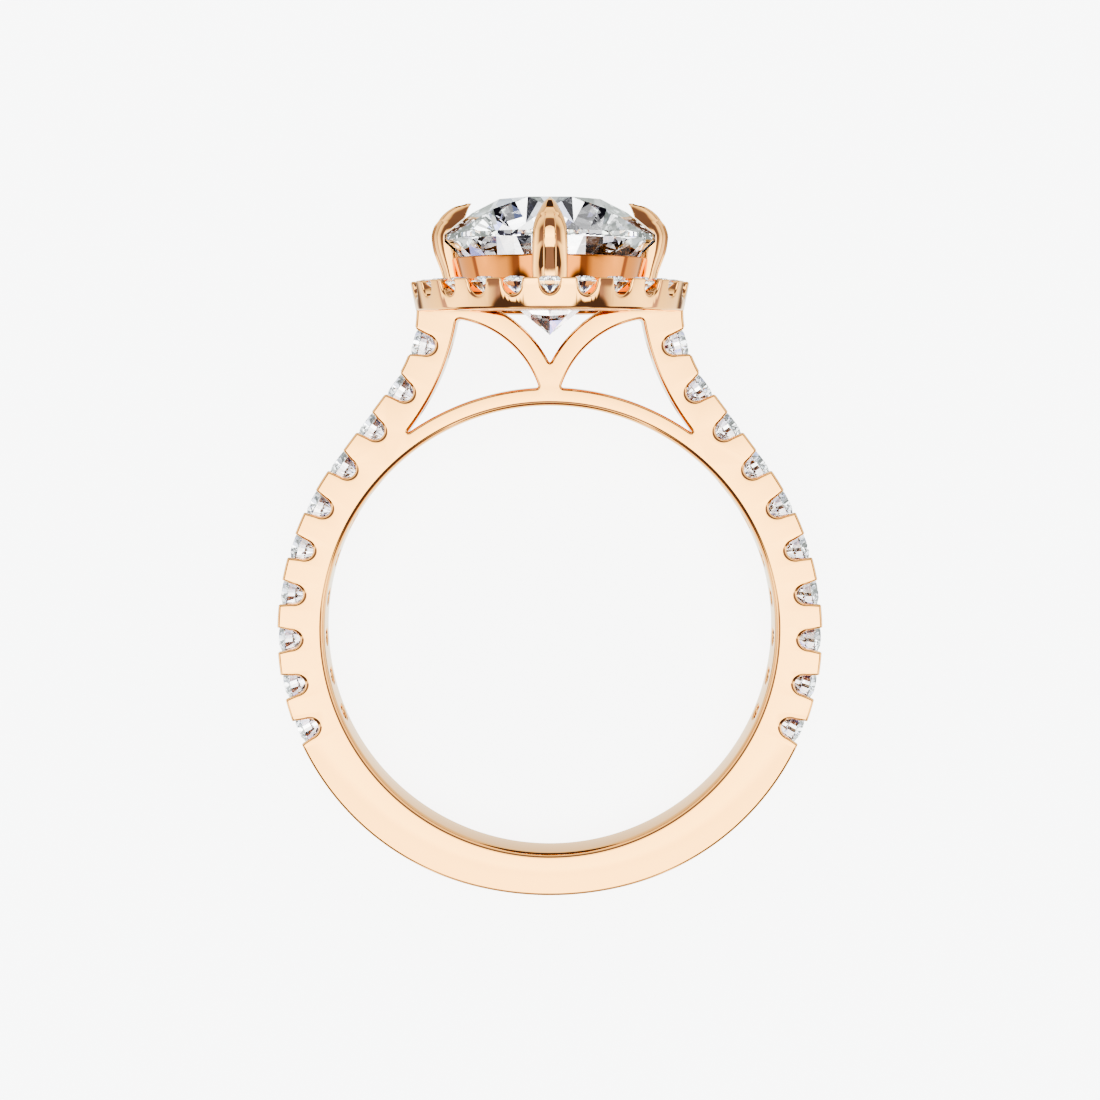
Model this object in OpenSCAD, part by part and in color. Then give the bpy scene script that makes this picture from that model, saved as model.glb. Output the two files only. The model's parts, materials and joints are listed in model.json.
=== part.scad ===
// Halo engagement ring, lying on its side as it would on a table.
// It is drawn flat first: the finger runs along Z, the head points along +Y, and the middle of the
// finger hole is at the origin. at_rest() then tips it onto its halo and its shank.

/* [Finger hole and band] */
// Inner diameter of the finger hole
finger_d = 16.5; // [16.2:0.1:16.8]
// Width of the band along the finger
band_w = 1.8; // [1.7:0.05:2.1]
// Metal under the finger, opposite the head
shank_t = 1.61; // [1.5:0.01:1.7]

/* [Gallery] */
// Thickness of the rail that closes the finger hole under the head
rail_t = 0.66; // [0.5:0.01:0.8]
// Inner radius of each arch under the head
arch_r = 3.63; // [3.5:0.01:3.7]
// Thickness of each arch
arch_t = 0.9; // [0.8:0.01:1]
// Sideways distance of an arch's centre from the middle
arch_x = 3.85; // [3.8:0.01:3.9]
// Height of an arch's centre above the middle of the finger hole
arch_y = 7.78; // [7.7:0.01:7.85]

/* [Shoulder stones] */
// Stones on each shoulder
stones_per_side = 10; // [8:1:10]
// Diameter of a shoulder stone
stone_d = 1.5; // [1.3:0.05:1.5]
// Distance from one shoulder stone to the next
stone_pitch = 1.74; // [1.68:0.01:1.76]
// Way along the band from under the finger to the lowest stone
first_stone = 11.68; // [11.2:0.01:11.7]
// Width of the U-cut in front of and behind a stone, at its round bottom
cut_w = 0.78; // [0.7:0.01:0.9]
// Width of the same cut at its mouth
cut_mouth_w = 0.94; // [0.9:0.01:1]
// Depth of the same cut
cut_depth = 0.86; // [0.75:0.01:0.9]
// Diameter of the hole that lets light in behind a stone
light_hole_d = 0.56; // [0.4:0.02:0.6]

/* [Halo] */
// Stones in the halo
halo_count = 24; // [20:1:24]
// Diameter of a halo stone
halo_stone_d = 0.94; // [0.8:0.01:0.96]
// Outer radius of the halo at its top edge
halo_r = 5.06; // [5:0.01:5.2]
// How far the halo's wall draws in towards its lower edge
halo_taper = 0.21; // [0.1:0.01:0.3]
// Inner radius of the halo
halo_inner_r = 3.9; // [3.85:0.01:3.95]
// Radius of the circle on which the halo stones sit
halo_stones_r = 4.46; // [4.44:0.01:4.5]
// Height of the halo's wall
halo_h = 1.07; // [1:0.01:1.2]
// How far the inner beads stand above the halo's rim
bead_h = 0.14; // [0.05:0.01:0.2]
// Width of an inner bead, and of the flat rim outside the stones
bead_w = 0.3; // [0.25:0.01:0.35]
// Width of the U-cut below each halo stone
halo_cut_w = 0.9; // [0.8:0.01:0.92]
// Depth of the same cut
halo_cut_depth = 0.68; // [0.5:0.01:0.7]
// Diameter of the light hole under a halo stone
halo_light_hole_d = 0.36; // [0.3:0.02:0.4]

/* [Centre stone] */
// Diameter of the centre stone
centre_d = 7.64; // [7.5:0.02:7.7]
// Height of its girdle above the halo's top edge
centre_rise = 1.56; // [1.5:0.01:1.7]

/* [Collar and claws] */
// Height of the collar's rim below the girdle
collar_drop = 0.71; // [0.68:0.01:0.8]
// Outer radius of the collar at its rim
collar_r = 3.53; // [3.5:0.01:3.6]
// Wall of the collar
collar_t = 0.38; // [0.3:0.01:0.4]
// Lean of the collar's wall, in millimetres out for each millimetre up
collar_lean = 0.255; // [0.2:0.005:0.28]
// Width of a claw at the girdle
claw_w = 1.24; // [1:0.02:1.3]

/* [Fit] */
// Gap between a stone and the metal round it
stone_gap = 0.03; // [0.02:0.01:0.04]

/* [Hidden] */
$fn = 96;
FINGER_FN = 180;
ROSE_GOLD = "#e6b48c";
DIAMOND = "#e9eef4";
finger_r = finger_d / 2;
// Everything that follows the finger grows with it.
grown = finger_d / 16.5;
// How far the band's top reaches into the halo, and how far a cutting shape stands out of the metal
overlap = 0.12;
cutter_over = 0.6;

// The outer outline runs from under the finger up to the head as arcs and one straight.
// Each row: radius (negative where it bends the other way), turn in degrees, length if straight.
RADIUS = 0;
TURN = 1;
RUN = 2;
outline_rows = [
    [11.28 * grown, 14.0, 0],
    [ 9.55 * grown, 71.5, 0],
    [10.59 * grown, 41.6, 0],
    [0, 0, 3.49 * grown],
    [-4.55 * grown, -37.1, 0]
];
arc_step = 3;
// The stones are spaced evenly along a line this far inside the outline.
stone_line = 0.15;
// The two highest stones are drilled into a window, and those below them into the finger hole.
drilled_into_window = 2;
drill_to_window = 1.7;
drill_to_finger = 2.3;

// The inner side of the left shoulder, above the rail, is an arc round a point outside the ring.
shoulder_centre = [-12.175, 12.892] * grown;
shoulder_inner_r = 8.96 * grown;
// The sides of the V under the head are struck from points this far outside and below the arches'.
vee_shift = [0.2, -0.03];

function dir(a) = [cos(a), sin(a)];

// A place on the outline is [x, y, heading]. The metal is always on the right-hand side.
function advance(p, row, part) =
    row[RADIUS] == 0
    ? [p.x + row[RUN] * part * cos(p.z), p.y + row[RUN] * part * sin(p.z), p.z]
    : let (middle = [p.x, p.y] + row[RADIUS] * dir(p.z - 90),
           heading = p.z - row[TURN] * part,
           to = middle - row[RADIUS] * dir(heading - 90))
      [to.x, to.y, heading];

function row_start(i) =
    i == 0 ? [0, -finger_r - shank_t, 180] : advance(row_start(i - 1), outline_rows[i - 1], 1);

function row_length(row, depth) =
    row[RADIUS] == 0 ? row[RUN] : (row[RADIUS] - depth) * row[TURN] * PI / 180;

// The place at way s, measured along the line that lies `depth` inside the outline.
function along(s, depth, i = 0) =
    let (whole = row_length(outline_rows[i], depth))
    s <= whole || i == len(outline_rows) - 1
    ? advance(row_start(i), outline_rows[i], s / whole)
    : along(s - whole, depth, i + 1);

// Shoulder stones are counted from 0, the lowest, up to the one nearest the head.
function stone_place(i) = along((first_stone + i * stone_pitch) * grown, stone_line);

function row_steps(row) = row[RADIUS] == 0 ? 1 : ceil(abs(row[TURN]) / arc_step);

half_outline = [
    for (i = [0 : len(outline_rows) - 1])
        for (k = [0 : row_steps(outline_rows[i]) - 1])
            let (p = advance(row_start(i), outline_rows[i], k / row_steps(outline_rows[i])))
            [p.x, p.y]
];
shoulder_top = row_start(len(outline_rows));

// Heights along +Y, from the middle of the finger hole
halo_bottom = shoulder_top.y - 0.11 * grown;
halo_top = halo_bottom + halo_h;
halo_table = halo_top + 0.06;
girdle_y = halo_top + centre_rise;
collar_top = girdle_y - collar_drop;
plate_top = halo_bottom + overlap;

// Cut of every stone, as shares of its diameter and angles in degrees
TABLE = 0.51;
CROWN_ANGLE = 34.3;
PAVILION_ANGLE = 41.3;
GIRDLE = 0.026;
STAR = 0.5;
LOWER_HALF = 0.77;
SECTOR = 45;

function crown_h(d) = (1 - TABLE) * d / 2 * tan(CROWN_ANGLE);
function pavilion_h(d) = d / 2 * tan(PAVILION_ANGLE);
// The tips of the star facets: reach from the axis, and height above the girdle
function star_reach(d) = let (edge_r = TABLE * d / 2 * cos(SECTOR / 2)) edge_r + STAR * (d / 2 - edge_r);
function star_rise(d) = (d / 2 - star_reach(d) * cos(SECTOR / 2)) * tan(CROWN_ANGLE);

// A claw as level sections. Each row: height from the girdle, inner reach, outer reach, share of claw_w.
RISE = 0;
INNER = 1;
OUTER = 2;
SHARE = 3;
claw_rows = [
    [-2.56, 2.95, 4.02, 0.80],
    [-1.86, 3.05, 3.82, 0.92],
    [-1.23, 3.22, 3.95, 1.00],
    [-0.66, 3.24, 4.19, 1.00],
    [ 0.07, 3.28, 4.28, 0.96],
    [ 0.44, 3.18, 4.17, 0.84],
    [ 0.73, 3.08, 3.98, 0.64],
    [ 0.98, 2.99, 3.73, 0.43],
    [ 1.16, 2.91, 3.42, 0.23],
    [ 1.27, 2.84, 3.06, 0.10]
];
CLAWS = 4;
// A section is widest at its belly. Its outer and inner flats are these shares of that width.
OUTER_FLAT = 0.34;
INNER_FLAT = 0.6;
// The belly lies this share of the way from the outer flat to the inner one.
BELLY = 0.4;

// The ring rests on the lower edge of its shank and on its halo. There it is the corners beside the
// lowest cut that touch, or else the wall under that cut. Each place: height, radius.
shank_bottom = finger_r + shank_t;
halo_feet = [
    [halo_top, sqrt(pow(halo_r, 2) - pow(halo_cut_w / 2, 2))],
    [halo_top - halo_cut_depth, halo_r - halo_taper * halo_cut_depth / halo_h]
];
rest_tilt = max([for (foot = halo_feet) atan2(foot.y - band_w / 2, foot.x + shank_bottom)]);
rest_lift = shank_bottom * sin(rest_tilt) + band_w / 2 * cos(rest_tilt);

// The lower claw reaches furthest one way and the shank's upper edge furthest the other.
claw_reach = max([
    for (row = claw_rows) (girdle_y + row[RISE]) * cos(rest_tilt) + row[OUTER] * sin(rest_tilt)
]);
shank_reach = shank_bottom * cos(rest_tilt) + band_w / 2 * sin(rest_tilt);
rest_shift = (shank_reach - claw_reach) / 2;

module at_rest() {
    translate([0, rest_shift, rest_lift])
        rotate([rest_tilt, 0, 0])
            children();
}

// What is drawn upright on Z comes to stand on the head's axis.
module on_head() {
    rotate([-90, 0, 0])
        children();
}

// What is drawn upright on Z comes to stand on the outline at stone i, pointing outwards.
module on_shoulder(i) {
    p = stone_place(i);
    translate([p.x, p.y, 0])
        rotate([0, 0, p.z])
            on_head()
                children();
}

// Round brilliant cut with its table level with the origin and its point below
module brilliant(d) {
    r = d / 2;
    table_r = TABLE * r;
    half = SECTOR / 2;
    star_r = star_reach(d);
    lower_r = (1 - LOWER_HALF) * r;
    girdle_top = -crown_h(d);
    girdle_low = girdle_top - GIRDLE * d;
    star_z = girdle_top + star_rise(d);
    lower_z = girdle_low - (r - lower_r * cos(half)) * tan(PAVILION_ANGLE);
    function point(radius, angle, z) = [radius * cos(angle), radius * sin(angle), z];
    points = concat(
        [for (k = [0 : 7]) point(table_r, SECTOR * k, 0)],
        [for (k = [0 : 7]) point(star_r, SECTOR * k + half, star_z)],
        [for (k = [0 : 15]) point(r, half * k, girdle_top)],
        [for (k = [0 : 15]) point(r, half * k, girdle_low)],
        [for (k = [0 : 7]) point(lower_r, SECTOR * k + half, lower_z)],
        [[0, 0, girdle_low - pavilion_h(d)]]
    );
    // where each ring of points begins in the list
    star = 8;
    upper = 16;
    under = 32;
    lower = 48;
    culet = 56;
    faces = concat(
        [[7, 6, 5, 4, 3, 2, 1, 0]],
        [for (k = [0 : 7]) [k, (k + 1) % 8, star + k]],
        [for (k = [0 : 7]) [k, star + k, upper + 2 * k, star + (k + 7) % 8]],
        [for (k = [0 : 7]) [star + k, upper + 2 * k + 1, upper + 2 * k]],
        [for (k = [0 : 7]) [star + k, upper + (2 * k + 2) % 16, upper + 2 * k + 1]],
        [for (k = [0 : 15]) [upper + k, upper + (k + 1) % 16, under + (k + 1) % 16, under + k]],
        [for (k = [0 : 7]) [lower + k, under + 2 * k, under + 2 * k + 1]],
        [for (k = [0 : 7]) [lower + k, under + 2 * k + 1, under + (2 * k + 2) % 16]],
        [for (k = [0 : 7]) [culet, lower + (k + 7) % 8, under + 2 * k, lower + k]]
    );
    polyhedron(points, faces);
}

// The hollow that a stone needs, from above its table down to the end of its light hole
module stone_seat(d, hole_d, hole_l) {
    r = d / 2 + stone_gap;
    shelf = -crown_h(d) - GIRDLE * d - stone_gap;
    rotate_extrude()
        polygon([
            [0, cutter_over],
            [r, cutter_over],
            [r, shelf],
            [hole_d / 2, shelf - (r - hole_d / 2) * tan(PAVILION_ANGLE)],
            [hole_d / 2, -hole_l],
            [0, -hole_l]
        ]);
}

// A slot with a round bottom and sides that may open towards the mouth, which is at the origin
module u_cut(bottom_w, mouth_w, depth) {
    low = depth - bottom_w / 2;
    // the sides go on at their slope past the mouth, to leave no corner on the outline
    top_w = mouth_w + (mouth_w - bottom_w) * cutter_over / low;
    translate([0, -low])
        circle(d = bottom_w);
    polygon([
        [-bottom_w / 2, -low],
        [bottom_w / 2, -low],
        [top_w / 2, cutter_over],
        [-top_w / 2, cutter_over]
    ]);
}

// The window between the rail, the arch and the left shoulder
module window() {
    difference() {
        translate([-arch_x, arch_y])
            circle(r = arch_r);
        circle(r = finger_r + rail_t, $fn = FINGER_FN);
        translate(shoulder_centre)
            circle(r = shoulder_inner_r);
    }
}

// The open V above the two arches, where the point of the centre stone hangs
module under_head() {
    difference() {
        translate([-arch_x, arch_y])
            square([2 * arch_x, plate_top + cutter_over - arch_y]);
        for (side = [-1, 1])
            translate([side * (arch_x + vee_shift.x), arch_y + vee_shift.y])
                circle(r = arch_r + arch_t);
    }
}

// Side of the ring as seen along the finger: band, shoulders, rail, arches and middle post
module side_outline() {
    difference() {
        polygon(concat(
            half_outline,
            [[shoulder_top.x, shoulder_top.y], [shoulder_top.x, plate_top],
             [-shoulder_top.x, plate_top], [-shoulder_top.x, shoulder_top.y]],
            [for (i = [len(half_outline) - 1 : -1 : 1]) [-half_outline[i].x, half_outline[i].y]]
        ));
        circle(r = finger_r, $fn = FINGER_FN);
        under_head();
        for (side = [0, 1])
            mirror([side, 0]) {
                window();
                for (i = [0 : stones_per_side - 1]) {
                    p = stone_place(i);
                    translate([p.x, p.y])
                        rotate(p.z)
                            u_cut(cut_w, cut_mouth_w, cut_depth);
                }
            }
    }
}

module band() {
    difference() {
        linear_extrude(height = band_w, center = true)
            side_outline();
        for (side = [0, 1])
            mirror([side, 0, 0])
                for (i = [0 : stones_per_side - 1]) {
                    to_window = i >= stones_per_side - drilled_into_window;
                    on_shoulder(i)
                        stone_seat(stone_d, light_hole_d, to_window ? drill_to_window : drill_to_finger);
                }
    }
}

module halo_ring() {
    difference() {
        rotate_extrude()
            polygon([
                [halo_inner_r, halo_bottom],
                [halo_r - halo_taper, halo_bottom],
                [halo_r, halo_top],
                [halo_r - bead_w, halo_top],
                [halo_inner_r + bead_w, halo_top + bead_h],
                [halo_inner_r, halo_top + bead_h]
            ]);
        for (k = [0 : halo_count - 1])
            rotate([0, 0, 360 / halo_count * k]) {
                translate([halo_inner_r - cutter_over, 0, halo_top])
                    rotate([90, 0, 90])
                        linear_extrude(height = halo_r - halo_inner_r + 2 * cutter_over)
                            u_cut(halo_cut_w, halo_cut_w, halo_cut_depth);
                translate([halo_stones_r, 0, halo_table])
                    stone_seat(halo_stone_d, halo_light_hole_d, halo_h + cutter_over);
            }
    }
}

module collar() {
    foot_r = collar_r - collar_lean * (collar_top - halo_bottom);
    rotate_extrude()
        polygon([
            [foot_r - collar_t, halo_bottom],
            [foot_r, halo_bottom],
            [collar_r, collar_top],
            [collar_r - collar_t, collar_top]
        ]);
}

function claw_section(row) =
    let (half = row[SHARE] * claw_w / 2,
         belly = row[OUTER] - BELLY * (row[OUTER] - row[INNER]),
         z = girdle_y + row[RISE])
    [[row[OUTER], -OUTER_FLAT * half, z], [row[OUTER], OUTER_FLAT * half, z], [belly, half, z],
     [row[INNER], INNER_FLAT * half, z], [row[INNER], -INNER_FLAT * half, z], [belly, -half, z]];

module claw() {
    n = len(claw_section(claw_rows[0]));
    last = (len(claw_rows) - 1) * n;
    polyhedron(
        [for (row = claw_rows) each claw_section(row)],
        concat(
            [[for (i = [0 : n - 1]) i]],
            [for (k = [0 : len(claw_rows) - 2]) for (i = [0 : n - 1])
                each [[k * n + i, (k + 1) * n + i, k * n + (i + 1) % n],
                      [k * n + (i + 1) % n, (k + 1) * n + i, (k + 1) * n + (i + 1) % n]]],
            [[for (i = [n - 1 : -1 : 0]) last + i]]
        )
    );
}

// The room that the centre stone takes, a little larger than the stone
module centre_room() {
    r = centre_d / 2 + stone_gap;
    half_girdle = GIRDLE * centre_d / 2 + stone_gap;
    // the crown stands highest in line with the tips of its stars
    tip_r = star_reach(centre_d);
    tip_y = girdle_y + half_girdle + star_rise(centre_d) + stone_gap / 2;
    rotate_extrude()
        polygon([
            [0, girdle_y - half_girdle - r * tan(PAVILION_ANGLE)],
            [r, girdle_y - half_girdle],
            [r, girdle_y + half_girdle],
            [tip_r, tip_y],
            [0, tip_y + tip_r * tan(CROWN_ANGLE)]
        ]);
}

module ring_mount() {
    color(ROSE_GOLD)
        at_rest() {
            band();
            on_head()
                difference() {
                    union() {
                        halo_ring();
                        collar();
                        for (k = [0 : CLAWS - 1])
                            rotate([0, 0, 360 / CLAWS * k])
                                claw();
                    }
                    centre_room();
                }
        }
}

module centre_stone() {
    color(DIAMOND)
        at_rest()
            on_head()
                translate([0, 0, girdle_y + GIRDLE * centre_d / 2 + crown_h(centre_d)])
                    rotate([0, 0, SECTOR / 2])
                        brilliant(centre_d);
}

module halo_stones() {
    color(DIAMOND)
        at_rest()
            on_head()
                for (k = [0 : halo_count - 1])
                    rotate([0, 0, 360 / halo_count * k])
                        translate([halo_stones_r, 0, halo_table])
                            brilliant(halo_stone_d);
}

// Stone 1 is the one nearest the head.
module shoulder_stone(side, number) {
    color(DIAMOND)
        at_rest()
            mirror([side, 0, 0])
                on_shoulder(stones_per_side - number)
                    brilliant(stone_d);
}

ring_mount();
centre_stone();
halo_stones();
for (i = [1 : stones_per_side]) {
    shoulder_stone(0, i);
    shoulder_stone(1, i);
}
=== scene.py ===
import json
import math

import bmesh
import bpy
from mathutils import Matrix, Vector


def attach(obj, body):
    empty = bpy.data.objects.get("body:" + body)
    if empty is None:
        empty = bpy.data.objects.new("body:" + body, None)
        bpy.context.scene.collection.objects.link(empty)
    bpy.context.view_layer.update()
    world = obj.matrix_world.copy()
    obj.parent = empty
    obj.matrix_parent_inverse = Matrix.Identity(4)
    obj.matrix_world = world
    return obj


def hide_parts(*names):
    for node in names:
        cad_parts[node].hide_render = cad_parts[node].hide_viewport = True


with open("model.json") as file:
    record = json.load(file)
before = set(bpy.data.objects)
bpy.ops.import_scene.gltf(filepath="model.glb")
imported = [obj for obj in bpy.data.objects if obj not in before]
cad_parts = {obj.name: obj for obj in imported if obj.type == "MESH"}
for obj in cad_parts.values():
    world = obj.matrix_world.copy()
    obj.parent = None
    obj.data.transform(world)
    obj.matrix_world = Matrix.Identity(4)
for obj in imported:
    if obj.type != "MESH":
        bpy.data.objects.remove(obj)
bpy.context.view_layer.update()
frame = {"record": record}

# Band
# One flat piece of cast rose gold: the shank under the finger, two shoulders that rise to the head,
# the rail that closes the finger hole, and two arches that meet in a post. U-cuts and drilled seats
# take the stones. The ring lies on its side, leaning a little, because its halo is wider.
bore = next(m for m in frame["record"]["mounts"] if m["name"] == "finger_bore")
finger_r = bore["dims"]["r_mm"]
band_w = bore["dims"]["length_mm"]
lean = math.atan2(-bore["axis"][1], bore["axis"][2])
# Pieces are drawn in millimetres, with the finger along Z and the head along +Y, and then laid down.
laid_down = Matrix.Translation(bore["pos_m"]) @ Matrix.Rotation(lean, 4, "X")
MILLIMETRE = 0.001

SHANK_T = 1.61
RAIL_T = 0.66
EDGE_ROUND = 0.115
HOLE_ROUND = 0.22
# A rounded edge is deeper along the finger than it is wide
ROUND_DEPTH = 1.35
ARCH_CENTRE = Vector((-3.85, 7.78))
ARCH_R = 3.63
VEE_CENTRE = Vector((-4.05, 7.75))
VEE_R = 4.53
SHOULDER_CENTRE = Vector((-12.175, 12.892))
SHOULDER_INNER_R = 8.96
HALO_BOTTOM = 11.63
# The band goes on a little into the halo that it is soldered to
PLATE_TOP = HALO_BOTTOM + 0.12
VEE_ROUND = 0.04
# Roundings of a window's corners: at the post, at the shoulder's foot and below the halo
WINDOW_ROUNDS = (0.08, 0.03, 0.14)
# Stretches of the outer outline from under the finger to the head: radius, turn, run when straight
OUTLINE = ((11.28, 14.0, 0), (9.55, 71.5, 0), (10.59, 41.6, 0), (0, 0, 3.49), (-4.55, -37.1, 0))

STONES_PER_SIDE = 10
STONE_D = 1.5
STONE_PITCH = 1.74
FIRST_STONE = 11.68
STONE_LINE = 0.15
# The U-cut's rim where it is narrowest and where it meets the flat: half width below and at the
# mouth, depth, height of the round bottom, rounding of the mouth's corners
CUT_INNER = (0.36, 0.445, 0.84, 0.42, 0.09)
CUT_OUTER = (0.445, 0.54, 1.05, 0.55, 0.05)


class Value:
    """A socket whose number or colour varies over a surface. Sums on it add Math nodes."""

    def __init__(self, finish, socket):
        self.finish = finish
        self.socket = socket

    def maths(self, operation, first, second=0.0):
        return self.finish.node("ShaderNodeMath", {"operation": operation}, {0: first, 1: second})

    def __add__(self, other):
        return self.maths("ADD", self, other)

    def __sub__(self, other):
        return self.maths("SUBTRACT", self, other)

    def __rsub__(self, other):
        return self.maths("SUBTRACT", other, self)

    def __mul__(self, other):
        return self.maths("MULTIPLY", self, other)

    def __truediv__(self, other):
        return self.maths("DIVIDE", self, other)

    __radd__ = __add__
    __rmul__ = __mul__

    def at_least(self, other):
        return self.maths("MAXIMUM", self, other)

    def at_most(self, other):
        return self.maths("MINIMUM", self, other)

    def between(self, start, end):
        """A soft mask that goes from 0 at the start to 1 at the end."""
        settings = {"interpolation_type": "SMOOTHSTEP"}
        inputs = {"Value": self, "From Min": start, "From Max": end}
        return self.finish.node("ShaderNodeMapRange", settings, inputs)


class Finish:
    """The node tree of a material or of the surroundings, built node by node."""

    def __init__(self, owner):
        owner.use_nodes = True
        self.tree = owner.node_tree
        self.tree.nodes.clear()

    def node(self, kind, settings=None, inputs=None, output=0):
        made = self.tree.nodes.new(kind)
        for name, setting in (settings or {}).items():
            if name == "stops":
                ramp = made.color_ramp
                while len(ramp.elements) < len(setting):
                    ramp.elements.new(1.0)
                for element, (position, colour) in zip(ramp.elements, setting):
                    element.position = position
                    element.color = colour
            else:
                setattr(made, name, setting)
        for name, value in (inputs or {}).items():
            if isinstance(value, Value):
                self.tree.links.new(value.socket, made.inputs[name])
            else:
                made.inputs[name].default_value = value
        return Value(self, made.outputs[output] if made.outputs else None)

    def mix(self, factor, first, second, blend="MIX"):
        """A colour between two, by a mask, or the two blended."""
        settings = {"data_type": "RGBA", "blend_type": blend}
        return self.node("ShaderNodeMix", settings, {"Factor": factor, 6: first, 7: second}, output=2)


def rose_gold_finish(name, lighter, redder):
    """Gold polished to a mirror, between two tones, with a faint waviness and change of gloss."""
    material = bpy.data.materials.new(name)
    finish = Finish(material)
    place = finish.node("ShaderNodeTexCoord", output="Object")
    waves = finish.node("ShaderNodeTexNoise", inputs={"Vector": place, "Scale": 420.0, "Detail": 2.0})
    grain = finish.node("ShaderNodeTexNoise", inputs={"Vector": place, "Scale": 5200.0, "Detail": 3.0})
    copper = finish.mix(waves, redder, lighter)
    relief = finish.node(
        "ShaderNodeBump", inputs={"Strength": 0.03, "Distance": 0.0001, "Height": waves * 0.8 + grain * 0.02}
    )
    surface = finish.node(
        "ShaderNodeBsdfPrincipled",
        inputs={
            "Base Color": copper,
            "Metallic": 1.0,
            "Roughness": 0.04 + 0.05 * waves * grain,
            "Normal": relief,
        },
    )
    finish.node("ShaderNodeOutputMaterial", inputs={"Surface": surface})
    return material


rose_gold = rose_gold_finish("rose_gold_polished", (0.945, 0.49, 0.195, 1), (0.94, 0.475, 0.18, 1))
SHARP_EDGE = math.radians(32)


def finish_piece(name, mesh, material, nodes):
    """Lays a mesh drawn in millimetres down, as a piece that stands for the named nodes."""
    mesh.transform(laid_down @ Matrix.Scale(MILLIMETRE, 4))
    mesh.materials.clear()
    mesh.materials.append(material)
    obj = bpy.data.objects.new(name, mesh)
    bpy.context.scene.collection.objects.link(obj)
    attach(obj, "root")
    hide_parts(*nodes)
    return obj


def metal_piece(name, mesh, nodes, material=rose_gold):
    """A polished piece, smooth but for its sharp edges, that doesn't tint what is seen in a stone."""
    mesh.shade_smooth()
    mesh.set_sharp_from_angle(angle=SHARP_EDGE)
    obj = finish_piece(name, mesh, material, nodes)
    obj.visible_transmission = False
    obj.modifiers.new("flats_stay_flat", "WEIGHTED_NORMAL").keep_sharp = True
    return obj


def toward(angle):
    return Vector((math.cos(math.radians(angle)), math.sin(math.radians(angle))))


def advance(point, heading, stretch, part):
    """The point and heading at a part of a stretch. The metal is on the right-hand side."""
    radius, turn, run = stretch
    if not radius:
        return point + run * part * toward(heading), heading
    turned = heading - turn * part
    return point + radius * (toward(heading - 90) - toward(turned - 90)), turned


def half_outline():
    point, heading = Vector((0, -finger_r - SHANK_T)), 180.0
    points = []
    for stretch in OUTLINE:
        steps = math.ceil(abs(stretch[1])) if stretch[0] else 1
        points += [advance(point, heading, stretch, k / steps)[0] for k in range(steps)]
        point, heading = advance(point, heading, stretch, 1)
    return points + [point]


def stone_place(number):
    """Where shoulder stone `number` stands on the left outline, 1 being the one nearest the head."""
    way = FIRST_STONE + (STONES_PER_SIDE - number) * STONE_PITCH
    point, heading = Vector((0, -finger_r - SHANK_T)), 180.0
    for stretch in OUTLINE:
        radius, turn, run = stretch
        whole = (radius - STONE_LINE) * math.radians(turn) if radius else run
        if way <= whole or stretch is OUTLINE[-1]:
            return advance(point, heading, stretch, way / whole)
        way -= whole
        point, heading = advance(point, heading, stretch, 1)


def crossing(centre_a, r_a, centre_b, r_b, side):
    """Where two circles cross, on the left (1) or right (-1) of the way from a to b."""
    between = centre_b - centre_a
    d = between.length
    along = (d * d + r_a * r_a - r_b * r_b) / (2 * d)
    off = math.sqrt(r_a * r_a - along * along)
    return centre_a + between / d * along + side * off * Vector((-between.y, between.x)) / d


def arc(centre, start, end, step=0.12):
    """Points on the shorter arc round a centre, both ends included."""
    a, b = start - centre, end - centre
    turn = a.angle_signed(b)
    steps = max(3, math.ceil(abs(turn) * a.length / step))
    return [centre + Matrix.Rotation(-turn * k / steps, 2) @ a for k in range(steps + 1)]


def rounded_gap(circles):
    """A gap between circles. Each row: centre, radius, 1 if the gap is outside it and -1 if inside,
    which crossing it has with the next circle, and the rounding of that corner."""
    corners = []
    for k, (centre, r, out, side, rounding) in enumerate(circles):
        other, other_r, other_out = circles[(k + 1) % len(circles)][:3]
        middle = crossing(centre, r + out * rounding, other, other_r + other_out * rounding, side)
        first = centre + (middle - centre).normalized() * r
        second = other + (middle - other).normalized() * other_r
        corners.append((middle, first, second))
    points = []
    for k, (middle, first, second) in enumerate(corners):
        centre = circles[k][0]
        points += arc(centre, corners[k - 1][2], first)[:-1]
        points += arc(middle, first, second, step=0.03)[:-1]
    return points[::-1]


def mirrored(points):
    return [Vector((-p.x, p.y)) for p in reversed(points)]


def window_outline():
    return rounded_gap([
        (ARCH_CENTRE, ARCH_R, -1, 1, WINDOW_ROUNDS[0]),
        (Vector((0, 0)), finger_r + RAIL_T, 1, -1, WINDOW_ROUNDS[1]),
        (SHOULDER_CENTRE, SHOULDER_INNER_R, 1, 1, WINDOW_ROUNDS[2]),
    ])


def band_outline():
    left = half_outline()
    low = Vector((0, VEE_CENTRE.y + math.sqrt((VEE_R + VEE_ROUND) ** 2 - VEE_CENTRE.x ** 2)))
    touch = VEE_CENTRE + (low - VEE_CENTRE).normalized() * VEE_R
    mouth_x = VEE_CENTRE.x + math.sqrt(VEE_R ** 2 - (PLATE_TOP - VEE_CENTRE.y) ** 2)
    vee = arc(VEE_CENTRE, Vector((mouth_x, PLATE_TOP)), touch)
    top = [Vector((left[-1].x, PLATE_TOP))] + vee
    half = left + top
    return half[1:] + [low - Vector((0, VEE_ROUND))] + mirrored(half)


def quarter(steps=5):
    """Pairs (across, along) of a quarter circle of radius 1, for a rounded edge."""
    angles = [math.pi / 2 * k / steps for k in range(steps + 1)]
    return [(1 - math.cos(a), math.sin(a)) for a in angles]


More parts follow.
